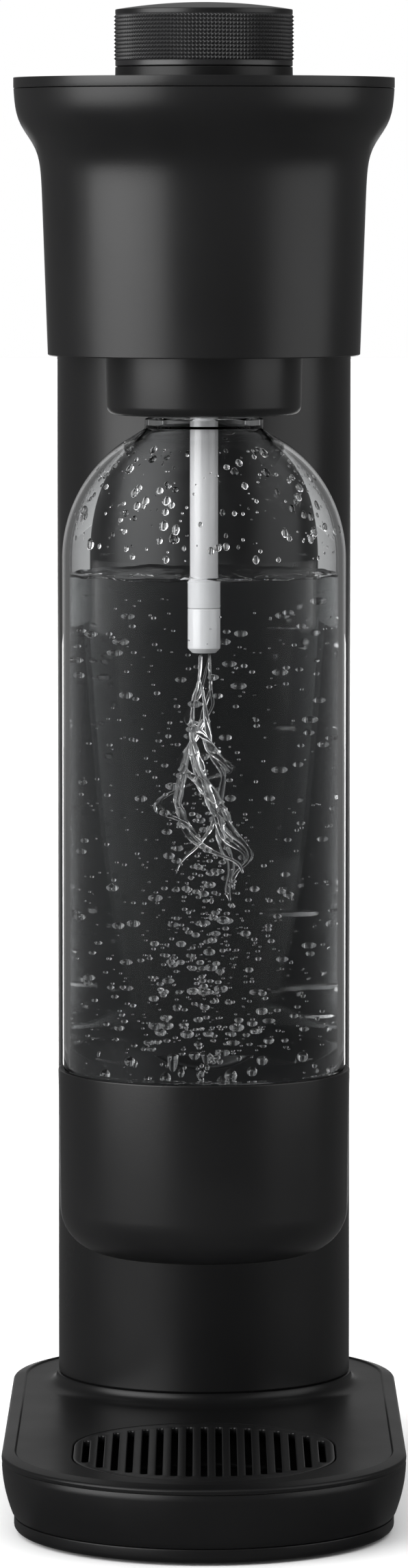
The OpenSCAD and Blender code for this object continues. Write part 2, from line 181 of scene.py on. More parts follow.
def sweep(bm, profile, path, ring=True, loop=True):
    """Runs a profile of (radius, height) along a path. ring closes the path, loop the profile."""
    rows = [[bm.verts.new((cx + r * nx, cy + r * ny, z)) for r, z in profile]
            for cx, cy, nx, ny in path]
    count = len(profile)
    for i in range(len(rows) if ring else len(rows) - 1):
        here, there = rows[i], rows[(i + 1) % len(rows)]
        for k in range(count if loop else count - 1):
            n = (k + 1) % count
            bm.faces.new((here[k], there[k], there[n], here[n]))
    if not ring and loop:
        bm.faces.new(rows[0])
        bm.faces.new(list(reversed(rows[-1])))
    return rows


def put(name, data):
    """Adds an object to the scene."""
    thing = bpy.data.objects.new(name, data)
    bpy.context.scene.collection.objects.link(thing)
    return thing


def finish_mesh(bm, name, sharp=32):
    """Cleans the mesh, marks its sharp edges and makes it an object."""
    bmesh.ops.remove_doubles(bm, verts=bm.verts, dist=1e-6)
    bmesh.ops.dissolve_degenerate(bm, edges=bm.edges, dist=1e-7)
    bmesh.ops.recalc_face_normals(bm, faces=bm.faces)
    limit = math.radians(sharp)
    for face in bm.faces:
        face.smooth = True
    for edge in bm.edges:
        edge.smooth = len(edge.link_faces) == 2 and edge.calc_face_angle(0) < limit
    mesh = bpy.data.meshes.new(name)
    bm.to_mesh(mesh)
    bm.free()
    return put(name, mesh)


def dress(thing, material, body, slot, *replaced):
    """Gives a piece its material and its body, and hides the CAD nodes that it stands for."""
    thing.data.materials.clear()
    thing.data.materials.append(material)
    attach(thing, body)
    if replaced:
        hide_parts(*replaced)
    return thing


def turned(name, profile, steps=160):
    """A lathe-turned piece on the upright axis of the bottle and the button."""
    bm = bmesh.new()
    sweep(bm, profile, circle_path(-END_Y, steps))
    return finish_mesh(bm, name)


def stadium_loop(r, e, y, steps=64):
    """Outline of a stadium about y, whose end arcs are centred e before and behind it."""
    return arc(0, y - e, r, 180, 360, steps) + arc(0, y + e, r, 0, 180, steps)


def ring_loop(r, steps):
    """Outline of a circle round the axis of the bottle and the button."""
    return [(r * math.cos(math.tau * i / steps), -END_Y + r * math.sin(math.tau * i / steps))
            for i in range(steps)]


def plate(name, loops, bottom, top, bevel):
    """A flat plate with holes: the first loop is its outline. Its edges are rounded by bevel."""
    bm = bmesh.new()
    rims = []
    for number, points in enumerate(loops):
        side = 1 if number == 0 else -1
        levels = [[bm.verts.new((x, y, z)) for x, y in offset_loop(points, -side * back)]
                  for z, back in edge_levels(bottom, top, bevel)]
        skin(bm, levels)
        rims.append((levels[0], levels[-1]))
    for end in (0, 1):
        fill(bm, [rim[end] for rim in rims])
    return finish_mesh(bm, name)


def edge_levels(bottom, top, bevel, steps=3):
    """Heights up a plate's edge, each with how far the rounded edge stands back there."""
    turns = [math.radians(90 * i / steps) for i in range(steps + 1)]
    lower = [(bottom + bevel * (1 - math.sin(a)), bevel * (1 - math.cos(a))) for a in turns]
    upper = [(top - bevel * (1 - math.sin(a)), bevel * (1 - math.cos(a))) for a in turns]
    return list(reversed(lower)) + upper


def offset_loop(points, distance):
    """The loop's points moved outward by a distance, across the loop's own direction."""
    count = len(points)
    area = sum(points[i][0] * points[(i + 1) % count][1] - points[(i + 1) % count][0] * points[i][1]
               for i in range(count))
    sign = 1 if area > 0 else -1
    moved = []
    for i, point in enumerate(points):
        before, after = points[i - 1], points[(i + 1) % count]
        tangent = Vector((after[0] - before[0], after[1] - before[1])).normalized()
        moved.append((point[0] + sign * tangent.y * distance, point[1] - sign * tangent.x * distance))
    return moved


def fill(bm, loops):
    """Fills the flat area between loops of vertices."""
    edges = []
    for verts in loops:
        for i, vert in enumerate(verts):
            other = verts[(i + 1) % len(verts)]
            edges.append(bm.edges.get((vert, other)) or bm.edges.new((vert, other)))
    bmesh.ops.triangle_fill(bm, use_beauty=True, use_dissolve=False, edges=edges)


# ---------------------------------------------------------------- materials
def new_material(name):
    """A new material with its node tree and its main shader."""
    material = bpy.data.materials.new(name)
    material.use_nodes = True
    tree = material.node_tree
    return material, tree, tree.nodes["Principled BSDF"]


def node(tree, kind):
    return tree.nodes.new(kind)


def noise_texture(tree, scale, detail=2.0, roughness=0.5, stretch=(1, 1, 1)):
    """A noise texture on object coordinates. stretch squeezes it along an axis."""
    place = node(tree, "ShaderNodeTexCoord")
    mapping = node(tree, "ShaderNodeMapping")
    mapping.inputs["Scale"].default_value = stretch
    texture = node(tree, "ShaderNodeTexNoise")
    texture.inputs["Scale"].default_value = scale
    texture.inputs["Detail"].default_value = detail
    texture.inputs["Roughness"].default_value = roughness
    tree.links.new(place.outputs["Object"], mapping.inputs["Vector"])
    tree.links.new(mapping.outputs["Vector"], texture.inputs["Vector"])
    return texture


def spread(tree, source, low_value, high_value, socket, from_low=0.3, from_high=0.7):
    """Maps a texture's grey onto a socket, between two values."""
    remap = node(tree, "ShaderNodeMapRange")
    remap.inputs["From Min"].default_value = from_low
    remap.inputs["From Max"].default_value = from_high
    remap.inputs["To Min"].default_value = low_value
    remap.inputs["To Max"].default_value = high_value
    tree.links.new(source, remap.inputs["Value"])
    tree.links.new(remap.outputs["Result"], socket)


def two_colours(tree, source, dark, light, socket, from_low=0.35, from_high=0.65):
    """Maps a texture's grey onto a colour socket, between a dark and a light colour."""
    ramp = node(tree, "ShaderNodeValToRGB")
    ramp.color_ramp.elements[0].position = from_low
    ramp.color_ramp.elements[0].color = (*dark, 1)
    ramp.color_ramp.elements[1].position = from_high
    ramp.color_ramp.elements[1].color = (*light, 1)
    tree.links.new(source, ramp.inputs["Fac"])
    tree.links.new(ramp.outputs["Color"], socket)


def bump(tree, shader, source, distance):
    """Fine relief on a surface, from a texture's grey."""
    made = node(tree, "ShaderNodeBump")
    made.inputs["Distance"].default_value = distance
    tree.links.new(source, made.inputs["Height"])
    tree.links.new(made.outputs["Normal"], shader.inputs["Normal"])


def moulded(name, dark, light, rough_low, rough_high, grain=0.012 * MM, grain_scale=2600, gloss=0.36):
    """Moulded plastic: a fine spark texture, and slow changes of gloss as from handling."""
    material, tree, shader = new_material(name)
    fine = noise_texture(tree, grain_scale, 3.0, 0.6)
    slow = noise_texture(tree, 18, 3.0, 0.55)
    two_colours(tree, slow.outputs["Fac"], dark, light, shader.inputs["Base Color"])
    spread(tree, slow.outputs["Fac"], rough_low, rough_high, shader.inputs["Roughness"])
    bump(tree, shader, fine.outputs["Fac"], grain)
    shader.inputs["IOR"].default_value = 1.5
    shader.inputs["Specular IOR Level"].default_value = gloss
    return material


def metal(name, dark, light, rough_low, rough_high, stretch=(1, 1, 40), depth=0.004 * MM):
    """Metal with fine brushing or turning marks."""
    material, tree, shader = new_material(name)
    marks = noise_texture(tree, 700, 4.0, 0.6, stretch)
    slow = noise_texture(tree, 25, 2.0)
    two_colours(tree, slow.outputs["Fac"], dark, light, shader.inputs["Base Color"])
    spread(tree, marks.outputs["Fac"], rough_low, rough_high, shader.inputs["Roughness"])
    bump(tree, shader, marks.outputs["Fac"], depth)
    shader.inputs["Metallic"].default_value = 1
    return material


def see_through(name, colour, ior, mirror, ripple=0.0, ripple_scale=40):
    """Clear material. mirror weakens its head-on reflections; ripple gives it slow, shallow waves."""
    material, tree, shader = new_material(name)
    shader.inputs["Specular Tint"].default_value = (mirror, mirror, mirror, 1)
    shader.inputs["Base Color"].default_value = (*colour, 1)
    shader.inputs["Roughness"].default_value = 0
    shader.inputs["IOR"].default_value = ior
    shader.inputs["Transmission Weight"].default_value = 1
    if ripple:
        waves = noise_texture(tree, ripple_scale, 2.0)
        bump(tree, shader, waves.outputs["Fac"], ripple)
    return material


BLACK = moulded("black_moulding", (0.0065, 0.0065, 0.0067), (0.008, 0.008, 0.0083), 0.27, 0.34)
# A darker copy of the black moulding. Its darker colour is painted shade, on the base and on the button skirt
# in the shade under the grip. Its lower gloss and higher roughness are its finish.
BLACK_SHADED = moulded("shaded_moulding", (0.0055, 0.0055, 0.0057), (0.007, 0.007, 0.0072), 0.3, 0.38, gloss=0.24)
BLACK_DEEP = moulded("dark_moulding", (0.008, 0.008, 0.0082), (0.011, 0.011, 0.0112), 0.45, 0.55)
KNURL = moulded("knurled_coating", (0.012, 0.012, 0.0125), (0.02, 0.02, 0.021), 0.26, 0.34,
                0.004 * MM, 4000, 0.5)
GREY = moulded("grey_moulding", (0.045, 0.045, 0.047), (0.06, 0.06, 0.062), 0.45, 0.6)
RUBBER = moulded("feet_rubber", (0.012, 0.012, 0.012), (0.022, 0.022, 0.022), 0.7, 0.85, 0.03 * MM, 900)
HOSE = moulded("hose_skin", (0.62, 0.62, 0.6), (0.74, 0.74, 0.71), 0.28, 0.4, gloss=0.5)
TUBE = moulded("tube_skin", (0.6, 0.6, 0.61), (0.66, 0.66, 0.67), 0.16, 0.24, 0.001 * MM, 900, 0.6)
STEEL = metal("frame_steel", (0.42, 0.43, 0.45), (0.55, 0.56, 0.58), 0.3, 0.45)
BRIGHT = metal("bright_steel", (0.6, 0.6, 0.62), (0.72, 0.72, 0.74), 0.14, 0.24, (1, 1, 6))
BRASS = metal("valve_brass", (0.62, 0.44, 0.18), (0.74, 0.56, 0.28), 0.22, 0.36, (1, 1, 8))
ALUMINIUM = metal("cylinder_aluminium", (0.6, 0.61, 0.63), (0.7, 0.71, 0.73), 0.3, 0.42, (1, 1, 12))
CLEAR = see_through("clear_bottle", (0.97, 0.98, 0.985), 1.49, 0.05, ripple=0.006 * MM)
WATER = see_through("water", (0.985, 0.995, 1.0), 1.16, 0.05)
SURFACE = see_through("water_surface", (0.985, 0.995, 1.0), 1.33, 1.0)
DROP = see_through("drops", (1, 1, 1), 1.45, 1.0)
BUBBLE = see_through("bubbles", (1, 1, 1), 1.4, 1.0)


# ---------------------------------------------------------------- base
def base_side(z):
    """Radius of the base body at height z: the side bows inward on its way down."""
    inset, bow = 0.1 * MM, 13.4
    return BASE_R - inset - bow * (SPLIT_Z - z) ** 2


def make_base_body():
    """Side wall of the base, a ring that the deck and the plinth close."""
    steps, soft = 16, 0.35 * MM
    levels = [BODY_LOW + (BODY_TOP - BODY_LOW) * i / steps for i in range(steps + 1)]
    outside = [(base_side(z) - edge_back(z, BODY_LOW, BODY_TOP, soft), z) for z in levels]
    inside = [(base_side(z) - WALL, z) for z in reversed(levels[::4])]
    bm = bmesh.new()
    sweep(bm, outside + inside, stadium_path(-END_Y, END_Y, 96))
    return finish_mesh(bm, "base_body_shell", 40)


def edge_back(z, bottom, top, soft):
    """How far a softened edge stands back at the ends of a wall."""
    reach = min(z - bottom, top - z)
    return soft if reach < 1e-7 else 0.0


def make_base_plate():
    """Plinth plate under the base body."""
    bm = bmesh.new()
    profile = rounded([(0, PLINTH_LOW), (PLINTH_R, PLINTH_LOW, 1.6 * MM), (PLINTH_R, PLINTH_TOP, 0.3 * MM),
                       (0, PLINTH_TOP)], 6)
    sweep(bm, profile, stadium_path(-END_Y, END_Y, 96))
    return finish_mesh(bm, "plinth")


def make_deck():
    """Deck with its rim, the concave collar at the column's foot and the opening for the grille."""
    lip, under = BASE_R - 3.7 * MM, DECK_Z - WALL
    rim = rounded([(lip - 0.5 * MM, DECK_Z), (lip, DECK_Z + 0.5 * MM, 0.4 * MM),
                   (BASE_R - 0.4 * MM, SPLIT_Z + 1.6 * MM, 0.9 * MM),
                   (BASE_R, SPLIT_Z + 1.0 * MM, 0.5 * MM), (BASE_R - 0.1 * MM, SPLIT_Z, 0.15 * MM),
                   (BASE_R - 2.6 * MM, SPLIT_Z), (lip - 3 * MM, under)])
    rise, spread_out, steps = COLLAR_TOP - DECK_Z, 5.5 * MM, 12
    foot_r = COLUMN_R + 0.4 * MM
    fillet = [(foot_r + spread_out * (1 - math.cos(t)), DECK_Z + rise * (1 - math.sin(t)))
              for t in (math.radians(90 - 90 * i / steps) for i in range(steps + 1))]
    collar = fillet[:-1] + [(foot_r + 0.02 * MM, COLLAR_TOP - 0.1 * MM), (foot_r - 0.2 * MM, COLLAR_TOP),
                            (COLUMN_R - WALL, COLLAR_TOP), (COLUMN_R - WALL, under)]
    hole_r, bevel = GRILLE_R + GRILLE_GAP, 0.25 * MM
    bm = bmesh.new()
    outer = sweep(bm, rim, stadium_path(-END_Y, END_Y, 96), True, False)
    inner = sweep(bm, collar, circle_path(COLUMN_Y, 160), True, False)
    opening = [[bm.verts.new((x, y, z)) for x, y in stadium_loop(hole_r + back, GRILLE_STRAIGHT, -END_Y)]
               for z, back in ((DECK_Z, bevel), (DECK_Z - bevel, 0), (under, 0))]
    skin(bm, opening)
    bmesh.ops.remove_doubles(bm, verts=bm.verts, dist=1e-7)
    for end in (0, -1):
        fill(bm, [[row[end] for row in outer if row[end].is_valid], [row[end] for row in inner],
                  opening[end]])
    return finish_mesh(bm, "deck")


def make_well():
    """The deck's well, which the drip tray stands in."""
    inner, outer = GRILLE_R + GRILLE_GAP, GRILLE_R + 1.95 * MM
    floor_low, floor_top, top = 6.6 * MM, 8 * MM, DECK_Z - WALL - 0.05 * MM
    profile = [(0, floor_low), (outer, floor_low), (outer, top), (inner, top), (inner, floor_top),
               (0, floor_top)]
    bm = bmesh.new()
    sweep(bm, profile, stadium_path(-END_Y - GRILLE_STRAIGHT, -END_Y + GRILLE_STRAIGHT, 64, 4))
    return finish_mesh(bm, "tray_well")


def make_tray():
    """Drip tray, an oval cup under the grille."""
    lo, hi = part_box("drip_tray")
    wall = 1.6 * MM
    inner_r, floor_z = GRILLE_R - wall, lo.z + wall
    profile = rounded([(0, lo.z), (GRILLE_R, lo.z, 1.2 * MM), (GRILLE_R, hi.z, 0.3 * MM),
                       (inner_r, hi.z, 0.3 * MM), (inner_r, floor_z, 1.5 * MM), (0, floor_z)])
    bm = bmesh.new()
    sweep(bm, profile, stadium_path(-END_Y - GRILLE_STRAIGHT, -END_Y + GRILLE_STRAIGHT, 64, 4))
    return finish_mesh(bm, "tray_cup")


def make_grille():
    """Grille plate with its row of slots, whose ends follow an oval."""
    slot_count, pitch, half_w = 17, 4.19 * MM, 0.95 * MM
    oval_x, oval_y = 35 * MM, 30.8 * MM
    loops = [stadium_loop(GRILLE_R, GRILLE_STRAIGHT, -END_Y)]
    for i in range(slot_count):
        x = (i - (slot_count - 1) / 2) * pitch
        reach = GRILLE_STRAIGHT + oval_y * math.sqrt(1 - (x / oval_x) ** 2) - half_w
        loops.append([(x + px, py) for px, py in stadium_loop(half_w, reach, -END_Y, 8)])
    return plate("grille_plate", loops, low("drip_grille").z, DECK_Z, 0.3 * MM)


# ---------------------------------------------------------------- column and head
def head_side(z):
    """Radius of the head at height z: a slow taper and then the flare."""
    taper, lip = 0.035, 2.6 * MM
    flare_z, flare_reach = 393.6 * MM, 5.4 * MM
    widen = (HEAD_R - HEAD_CUP_R - lip) / 2 * (1 + math.tanh((z - flare_z) / flare_reach))
    return HEAD_CUP_R + (z - HEAD_LOW) * taper + widen


def head_walls(bottom, top):
    """Closed outline of the head's wall from bottom to top, with softened edges."""
    steps = 44
    levels = [bottom + (top - bottom) * i / steps for i in range(steps + 1)]
    soft = 0.3 * MM
    outside = [(head_side(z), z) for z in levels]
    outside[0] = (outside[0][0] - soft, bottom)
    outside.insert(1, (head_side(bottom + soft), bottom + soft))
    outside[-1] = (outside[-1][0] - soft / 3, top)
    outside.insert(-1, (head_side(top), top - soft / 3))
    inside = [(head_side(z) - WALL, z) for z in reversed(levels[::3])]
    return outside + inside


def open_stadium_path(front, rear, steps=120, rows=14):
    """From the rear edge of one straight side round the front to the other."""
    path = [(0, rear + (front - rear) * i / rows, -1, 0) for i in range(rows)]
    path += circle_path(front, steps, 180, 360)
    path += [(0, front + (rear - front) * i / rows, 1, 0) for i in range(1, rows + 1)]
    return path


def make_head_shell():
    """Casing of the head, open at the rear, where the cover goes on."""
    bm = bmesh.new()
    sweep(bm, head_walls(HEAD_LOW, HEAD_TOP), open_stadium_path(-END_Y, COLUMN_Y), False)
    return finish_mesh(bm, "head_casing")


def make_head_floor():
    """Floor of the head, with openings for the nozzle skirt and for the gas cylinder."""
    r, bay_r, hole_r, steps = HEAD_CUP_R - 0.4 * MM, COLUMN_R - WALL, 27.75 * MM, 96
    outline = arc(0, -END_Y, r, 180, 360, steps) + [(r, COLUMN_Y)]
    outline += arc(0, COLUMN_Y, bay_r, 0, -180, steps) + [(-r, COLUMN_Y)]
    return plate("head_floor", [outline, ring_loop(hole_r, steps)], HEAD_LOW + 0.02 * MM,
                 HEAD_LOW + WALL, 0.05 * MM)


def make_top_plate():
    """Flat top of the head, with the hole that the button goes through."""
    middle, reach = (COLUMN_Y - END_Y) / 2, (COLUMN_Y + END_Y) / 2
    outline = stadium_loop(HEAD_R, reach, middle, 128)
    hole = ring_loop(GRIP_R + 0.6 * MM, 128)
    return plate("top_plate", [outline, hole], HEAD_TOP + 0.15 * MM, TOP_Z, 0.1 * MM)


def make_plate_rib():
    """Locating rib under the top plate."""
    outer_r = HEAD_R - WALL - 1.2 * MM
    inner_r, bottom, top = outer_r - 2 * MM, HEAD_TOP - 3 * MM, HEAD_TOP + 0.2 * MM
    bm = bmesh.new()
    sweep(bm, [(inner_r, bottom), (outer_r, bottom), (outer_r, top), (inner_r, top)],
          stadium_path(-END_Y, COLUMN_Y, 64))
    return finish_mesh(bm, "top_plate_rib")


def make_column_front():
    """Front half of the column, with the tongue that stands in the deck's collar."""
    top, foot = high("column_front").z, low("column_front").z
    inner_r, tongue_r, play = COLUMN_R - WALL, COLUMN_R - WALL - 2.4 * MM, 0.1 * MM
    shell = rounded([(inner_r, COLUMN_FOOT), (COLUMN_R - 0.3 * MM, COLUMN_FOOT),
                     (COLUMN_R, COLUMN_FOOT + 0.4 * MM, 0.2 * MM), (COLUMN_R, top), (inner_r, top)])
    tongue = [(tongue_r, foot), (inner_r - play, foot), (inner_r + play, COLUMN_FOOT + 5 * MM),
              (tongue_r, COLUMN_FOOT + 3 * MM)]
    bm = bmesh.new()
    sweep(bm, shell, circle_path(COLUMN_Y, 160, 180, 360), False)
    sweep(bm, tongue, circle_path(COLUMN_Y, 64, 180, 360), False)
    return finish_mesh(bm, "column_casing")


def make_rear_cover():
    """Rear half of the column and of the head in one piece, with its four hooks."""
    top, seam = high("rear_cover").z, 0.2 * MM
    column = [(COLUMN_R - 0.3 * MM, COLUMN_FOOT), (COLUMN_R - 0.05 * MM, COLUMN_FOOT + 0.3 * MM),
              (COLUMN_R, COLUMN_FOOT + 0.6 * MM), (COLUMN_R, HEAD_LOW - 0.2 * MM)]
    walls = head_walls(HEAD_LOW, top)
    split = next(i for i in range(1, len(walls)) if walls[i][1] <= walls[i - 1][1] + 1e-9)
    outside = walls[1:split]
    inside = [point for point in walls[split:] if point[1] > HEAD_LOW + 2 * MM]
    profile = column + outside + inside + [(COLUMN_R - WALL, HEAD_LOW), (COLUMN_R - WALL, COLUMN_FOOT)]
    bm = bmesh.new()
    sweep(bm, profile, circle_path(COLUMN_Y + seam, 160, 0, 180), False)
    hook_x, hook = 39.3 * MM, (2 * MM, 9 * MM, 14 * MM)
    for x in (-hook_x, hook_x):
        for z in (70 * MM, 290 * MM):
            add_block(bm, (x, COLUMN_Y - 1.5 * MM, z + hook[2] / 2), hook)
    return finish_mesh(bm, "back_cover")


def add_block(bm, centre, size):
    """Adds a box to a mesh."""
    made = bmesh.ops.create_cube(bm, size=1)
    bmesh.ops.scale(bm, vec=size, verts=made["verts"])
    bmesh.ops.translate(bm, vec=centre, verts=made["verts"])


# ---------------------------------------------------------------- button
def make_button_cap():
    """Domed cap of the button, with the sleeve under it that holds the grip ring."""
    r, band, soft, steps = GRIP_R - BAND_BACK, 1.25 * MM, 0.3 * MM, 24
    sleeve_r, bore_r, sleeve, roof = 20 * MM, 18 * MM, 8 * MM, 0.5 * MM
    dome_r, fall = r - soft, CROWN_Z - GRIP_TOP - band
    dome = [(i / steps * dome_r, CROWN_Z - fall * (i / steps) ** 2) for i in range(steps + 1)]
    edge = arc(dome_r, GRIP_TOP + band - soft, soft, 75, 0, 6)
    under = GRIP_TOP - 0.02 * MM
    inner = [(r, under), (sleeve_r, under), (sleeve_r, GRIP_TOP - sleeve), (bore_r, GRIP_TOP - sleeve),
             (bore_r, GRIP_TOP - roof), (0, GRIP_TOP - roof)]
    return turned("button_dome", dome + edge + inner, 192)


def make_grip():
    """Knurled ring: rows and columns of small pyramids between two plain bands."""
    columns, rows, samples, depth = 147, 12, 4, 0.48 * MM
    knurl_low, knurl_high = GRIP_LOW + 1.6 * MM, GRIP_TOP - 0.3 * MM
    inner_r, root_r, band_r, bevel = 20.1 * MM, GRIP_R - depth, GRIP_R - BAND_BACK, 0.2 * MM
    around, levels = columns * samples, rows * samples
    bm = bmesh.new()
    grid = []
    for k in range(levels + 1):
        z = knurl_low + (knurl_high - knurl_low) * k / levels
        row = []
        for i in range(around):
            peak = min(tent(i / samples), tent(k / samples))
            a = math.tau * i / around
            r = GRIP_R - depth * (1 - peak)
            row.append(bm.verts.new((r * math.cos(a), -END_Y + r * math.sin(a), z)))
        grid.append(row)
    lower = [circle_row(bm, r, z, around) for r, z in
             ((inner_r, GRIP_LOW), (band_r - bevel, GRIP_LOW), (band_r, GRIP_LOW + bevel),
              (band_r, knurl_low - 0.15 * MM), (root_r, knurl_low - 0.02 * MM))]
    upper = [circle_row(bm, r, z, around) for r, z in
             ((root_r, knurl_high + 0.05 * MM), (band_r, GRIP_TOP), (inner_r, GRIP_TOP))]
    stack = lower + grid + upper
    skin(bm, stack + stack[:1])
    return finish_mesh(bm, "knurled_grip", 28)


def tent(t):
    """1 in the middle of each unit step and 0 at its ends."""
    return 1 - abs(2 * (t % 1) - 1)


def circle_row(bm, r, z, steps):
    """A row of vertices round the button's axis."""
    return [bm.verts.new((x, y, z)) for x, y in ring_loop(r, steps)]


def make_button_skirt():
    """Plain skirt under the grip ring. It slides in the head with the button."""
    bottom = low("button_skirt").z
    inner_r, bore_r, roof_z = SKIRT_R - 2.2 * MM, 12 * MM, SKIRT_TOP - 2.4 * MM
    profile = rounded([(inner_r, bottom), (SKIRT_R + 0.06 * MM, bottom),
                       (SKIRT_R - 0.16 * MM, SKIRT_TOP, 0.25 * MM), (bore_r, SKIRT_TOP),
                       (bore_r, roof_z), (inner_r, roof_z)])
    return turned("button_collar", profile)


def make_spring():
    """The button's return spring, a round wire wound as a helix."""
    wire, turns, around, sides = 0.7 * MM, 6, 36, 10
    coil_r = high("button_spring").x - wire
    bottom, top = low("button_spring").z + wire, high("button_spring").z - wire
    steps = turns * around
    bm = bmesh.new()
    rows = []
    for i in range(steps + 1):
        a = math.tau * i / around
        z = bottom + (top - bottom) * i / steps
        row = []
        for b in (math.tau * k / sides for k in range(sides)):
            r = coil_r + wire * math.cos(b)
            row.append(bm.verts.new((r * math.cos(a), -END_Y + r * math.sin(a), z + wire * math.sin(b))))
        rows.append(row)
    strand(bm, rows)
    return finish_mesh(bm, "return_spring")


# ---------------------------------------------------------------- nozzle
def make_nozzle_skirt():
    """Round skirt under the head, hung by its flange from the head's floor."""
    bottom, ledge = low("nozzle_skirt").z, HEAD_LOW + WALL
    flange_top = ledge + 2 * MM
    lip_r, side_r, ledge_r, flange_r, bore_r = 24 * MM, 27.2 * MM, 27.6 * MM, 30 * MM, 24.8 * MM
    profile = rounded([(lip_r, bottom, 0.4 * MM), (side_r, bottom, 2.6 * MM), (ledge_r, ledge),
                       (flange_r, ledge), (flange_r, flange_top), (bore_r, flange_top),
                       (bore_r, bottom + 1.5 * MM)], 7)
    return turned("skirt_ring", profile)


def make_tube():
    """Carbonation tube that hangs from the head into the bottle."""
    bottom, top, bore = low("carbonation_tube").z, high("carbonation_tube").z, 1.6 * MM
    profile = rounded([(bore, bottom), (TUBE_R, bottom, 0.3 * MM), (TUBE_R, top, 0.3 * MM), (bore, top)])
    return turned("gas_tube", profile, 64)


def make_tip():
    """End plug of the tube: a spigot above its shoulder, and a jet that widens into a bore."""
    shoulder_z, spigot, bore, jet = 261.95 * MM, 1.58 * MM, 0.8 * MM, 0.5 * MM
    profile = rounded([(jet, TIP_LOW), (TIP_R - 1.1 * MM, TIP_LOW, 0.3 * MM),
                       (TIP_R, TIP_LOW + 1.3 * MM, 0.5 * MM), (TIP_R, shoulder_z, 0.15 * MM),
                       (spigot, shoulder_z), (spigot, TIP_TOP), (bore, TIP_TOP), (bore, 255 * MM),
                       (jet, 254 * MM)])
    return turned("tube_nozzle", profile, 64)


# ---------------------------------------------------------------- bottle
def shoulder(r, cone=59):
    """Round shoulder of radius r, from the side up to the angle where the cone to the neck begins."""
    return arc(0, SHOULDER_Z, r, 0, cone, 28)


def make_bottle():
    """Clear bottle: foot, straight side, round shoulder, neck ring, two thread rings and mouth."""
    neck_out, neck_in, thread = 15.4 * MM, 13.4 * MM, 1.2 * MM
    bottom_r, foot_back = 13 * MM, 0.5 * MM
    side_heights = [z * MM for z in range(140, 275, 15)]
    outside = [(0, BOTTLE_LOW)]
    outside += arc(BOTTLE_R - foot_back - bottom_r, BOTTLE_LOW + bottom_r, bottom_r, -90, 0, 12)
    outside += [(BOTTLE_R - foot_back, CUP_TOP + 0.2 * MM), (BOTTLE_R - 0.35 * MM, CUP_TOP + 0.5 * MM),
                (BOTTLE_R, CUP_TOP + 1.2 * MM)]
    outside += [(BOTTLE_R, z) for z in side_heights]
    outside += shoulder(BOTTLE_R)
    ring_r, ring_low, ring_top = 16.6 * MM, 312.3 * MM, 314.6 * MM
    outside += [(ring_r + 0.3 * MM, ring_low - 0.4 * MM), (ring_r, ring_low), (ring_r, ring_top),
                (ring_r - 0.3 * MM, ring_top + 0.3 * MM), (neck_out, ring_top + 0.6 * MM)]
    for z in (318 * MM, 323 * MM):
        outside += [(neck_out, z), (neck_out + thread, z + 0.9 * MM), (neck_out + thread, z + 1.7 * MM),
                    (neck_out, z + 2.6 * MM)]
    outside += [(neck_out, NECK_TOP - 0.4 * MM), (neck_out - 0.4 * MM, NECK_TOP)]
    inner_r = BOTTLE_R - BOTTLE_WALL
    inside = [(neck_in + 0.3 * MM, NECK_TOP), (neck_in, NECK_TOP - 0.3 * MM), (neck_in, 313 * MM)]
    inside += list(reversed(shoulder(inner_r, 62)))
    inside += [(inner_r, z) for z in reversed(side_heights)]
    inside += list(reversed(bottle_floor()))
    return turned("bottle_wall", outside + inside, 192)


def bottle_floor():
    """Inside of the bottle's bottom, from the axis out to the side."""
    corner, floor_z = 10 * MM, BOTTLE_LOW + 2.2 * MM
    return [(0, floor_z)] + arc(BOTTLE_R - BOTTLE_WALL - corner, floor_z + corner, corner, -90, 0, 10)


def make_cup():
    """Black cup that the bottle's foot stands in."""
    low_r, inner_r, floor_z = 40.4 * MM, BOTTLE_R - 0.4 * MM, CUP_LOW + 3 * MM
    profile = rounded([(0, CUP_LOW), (low_r, CUP_LOW, 13 * MM), (CUP_R, CUP_TOP, 0.45 * MM),
                       (inner_r, CUP_TOP, 0.2 * MM), (inner_r, floor_z, 12.5 * MM), (0, floor_z)], 14)
    return turned("bottle_cup", profile, 192)


def make_water():
    """Water up to the fill level, parted from the wall by a thin film. Ripples run over its top."""
    film = 0.08 * MM
    inner_r = BOTTLE_R - BOTTLE_WALL - film
    steps, rings = 160, 64
    side = [(r - film, z + film) for r, z in bottle_floor()[1:]]
    side += [(inner_r, z * MM) for z in (140, 200, 262)]
    bm = bmesh.new()
    path = circle_path(-END_Y, steps)
    rows = [[bm.verts.new((cx + r * nx, cy + r * ny, z)) for cx, cy, nx, ny in path] for r, z in side]
    for k in range(rings):
        r = inner_r * (1 - k / rings)
        row = []
        for cx, cy, nx, ny in path:
            x, y = cx + r * nx, cy + r * ny
            row.append(bm.verts.new((x, y, WATER_Z + ripple(x, y + END_Y, r / inner_r))))
        rows.append(row)
    skin(bm, rows)
    bm.faces.new(rows[-1])
    bm.faces.new(list(reversed(rows[0])))
    return finish_mesh(bm, "water", 50)


def ripple(x, y, share):
    """Height of the ripples at a place on the water; share is its distance out, 1 at the wall."""
    wave, edge = 8 * MM, 0.05
    place = Vector((x / wave, y / wave, 0.3))
    choppy = noise.noise(place) * 0.75 + noise.noise(place * 2.1) * 0.42 + noise.noise(place * 4.3) * 0.16
    rings = math.sin(share * 30) * 0.3 * (1 - share)
    climb = 0.8 * max(0.0, share - (1 - edge)) / edge
    return (choppy * (1 - 0.3 * share) + rings + climb) * MM


# ---------------------------------------------------------------- bubbles and drops
def ball(detail):
    """Vertices and faces of a unit ball."""
    bm = bmesh.new()
    bmesh.ops.create_icosphere(bm, subdivisions=detail, radius=1)
    verts = [vert.co.copy() for vert in bm.verts]
    faces = [[vert.index for vert in face.verts] for face in bm.faces]
    bm.free()
    return verts, faces


